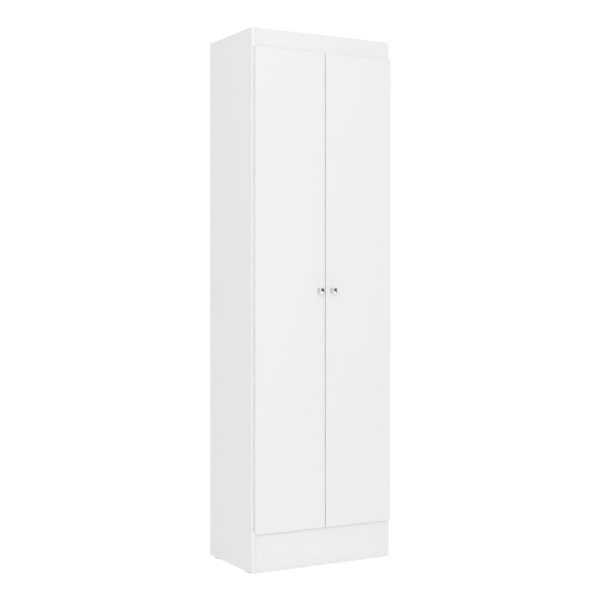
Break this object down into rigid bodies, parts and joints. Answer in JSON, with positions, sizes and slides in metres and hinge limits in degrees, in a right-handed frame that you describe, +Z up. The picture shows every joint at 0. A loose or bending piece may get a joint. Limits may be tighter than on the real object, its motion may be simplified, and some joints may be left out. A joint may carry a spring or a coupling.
{
  "type": "pantry cabinet",
  "caption": "Tall narrow white cabinet with full-height overlay doors on concealed hinges, square knobs, a plinth, a top fascia and shelves inside.",
  "frame": {"origin": "on the floor, at the centre of the bounding box's base", "axes": "+Z up, -Y out of the front of the doors, +X towards the right-hand door as seen from the front"},
  "size_m": [0.54, 0.3664, 1.8],
  "materials": {
    "white_board": "satin",
    "white_hardboard": "satin",
    "beech": "matte",
    "white_plastic": "matte",
    "clear_rubber": "matte",
    "polished_nickel": "polished",
    "zinc_casting": "satin",
    "bright_nail_steel": "satin",
    "nickel_plated_steel": "satin",
    "zinc_plated_steel": "satin"
  },
  "bodies": {
    "cabinet": {"left_side_panel": "white_board", "right_side_panel": "white_board", "top_panel": "white_board", "bottom_panel": "white_board", "fixed_shelf": "white_board", "lower_shelf_1": "white_board", "lower_shelf_2": "white_board", "upper_shelf_1": "white_board", "upper_shelf_2": "white_board", "plinth_board": "white_board", "rear_plinth_rail": "white_board", "top_fascia": "white_board", "lower_back_panel": "white_hardboard", "upper_back_panel": "white_hardboard", "front_left_glide": "white_plastic", "front_right_glide": "white_plastic", "rear_left_glide": "white_plastic", "rear_right_glide": "white_plastic", "glide_nails": "zinc_plated_steel", "back_panel_nails": "bright_nail_steel", "cam_bolts": "zinc_plated_steel", "cam_locks": "zinc_casting", "wood_dowels": "beech", "shelf_pins": "zinc_plated_steel", "wall_bracket": "zinc_plated_steel", "wall_bracket_screws": "zinc_plated_steel", "hinge_plate_screws": "nickel_plated_steel", "hinge_arm_screws": "nickel_plated_steel", "left_lower_hinge_arm": "nickel_plated_steel", "left_lower_hinge_plate": "nickel_plated_steel", "left_middle_hinge_arm": "nickel_plated_steel", "left_middle_hinge_plate": "nickel_plated_steel", "left_upper_hinge_arm": "nickel_plated_steel", "left_upper_hinge_plate": "nickel_plated_steel", "right_lower_hinge_arm": "nickel_plated_steel", "right_lower_hinge_plate": "nickel_plated_steel", "right_middle_hinge_arm": "nickel_plated_steel", "right_middle_hinge_plate": "nickel_plated_steel", "right_upper_hinge_arm": "nickel_plated_steel", "right_upper_hinge_plate": "nickel_plated_steel"},
    "left_door": {"left_door": "white_board", "left_knob": "polished_nickel", "left_knob_screw": "zinc_plated_steel", "left_hinge_pins": "nickel_plated_steel", "left_cup_screws": "zinc_plated_steel", "left_door_bumpers": "clear_rubber", "left_lower_hinge_cup": "nickel_plated_steel", "left_middle_hinge_cup": "nickel_plated_steel", "left_upper_hinge_cup": "nickel_plated_steel"},
    "right_door": {"right_door": "white_board", "right_knob": "polished_nickel", "right_knob_screw": "zinc_plated_steel", "right_hinge_pins": "nickel_plated_steel", "right_cup_screws": "zinc_plated_steel", "right_door_bumpers": "clear_rubber", "right_lower_hinge_cup": "nickel_plated_steel", "right_middle_hinge_cup": "nickel_plated_steel", "right_upper_hinge_cup": "nickel_plated_steel"}
  },
  "joints": [
    {"name": "left_door_hinge", "type": "hinge", "parent": "cabinet", "child": "left_door", "pos_m": [-0.25698, -0.15399, 0.933], "axis": [0, 0, -1], "range_deg": [0, 95]},
    {"name": "right_door_hinge", "type": "hinge", "parent": "cabinet", "child": "right_door", "pos_m": [0.25698, -0.15399, 0.933], "axis": [0, 0, 1], "range_deg": [0, 95]}
  ]
}
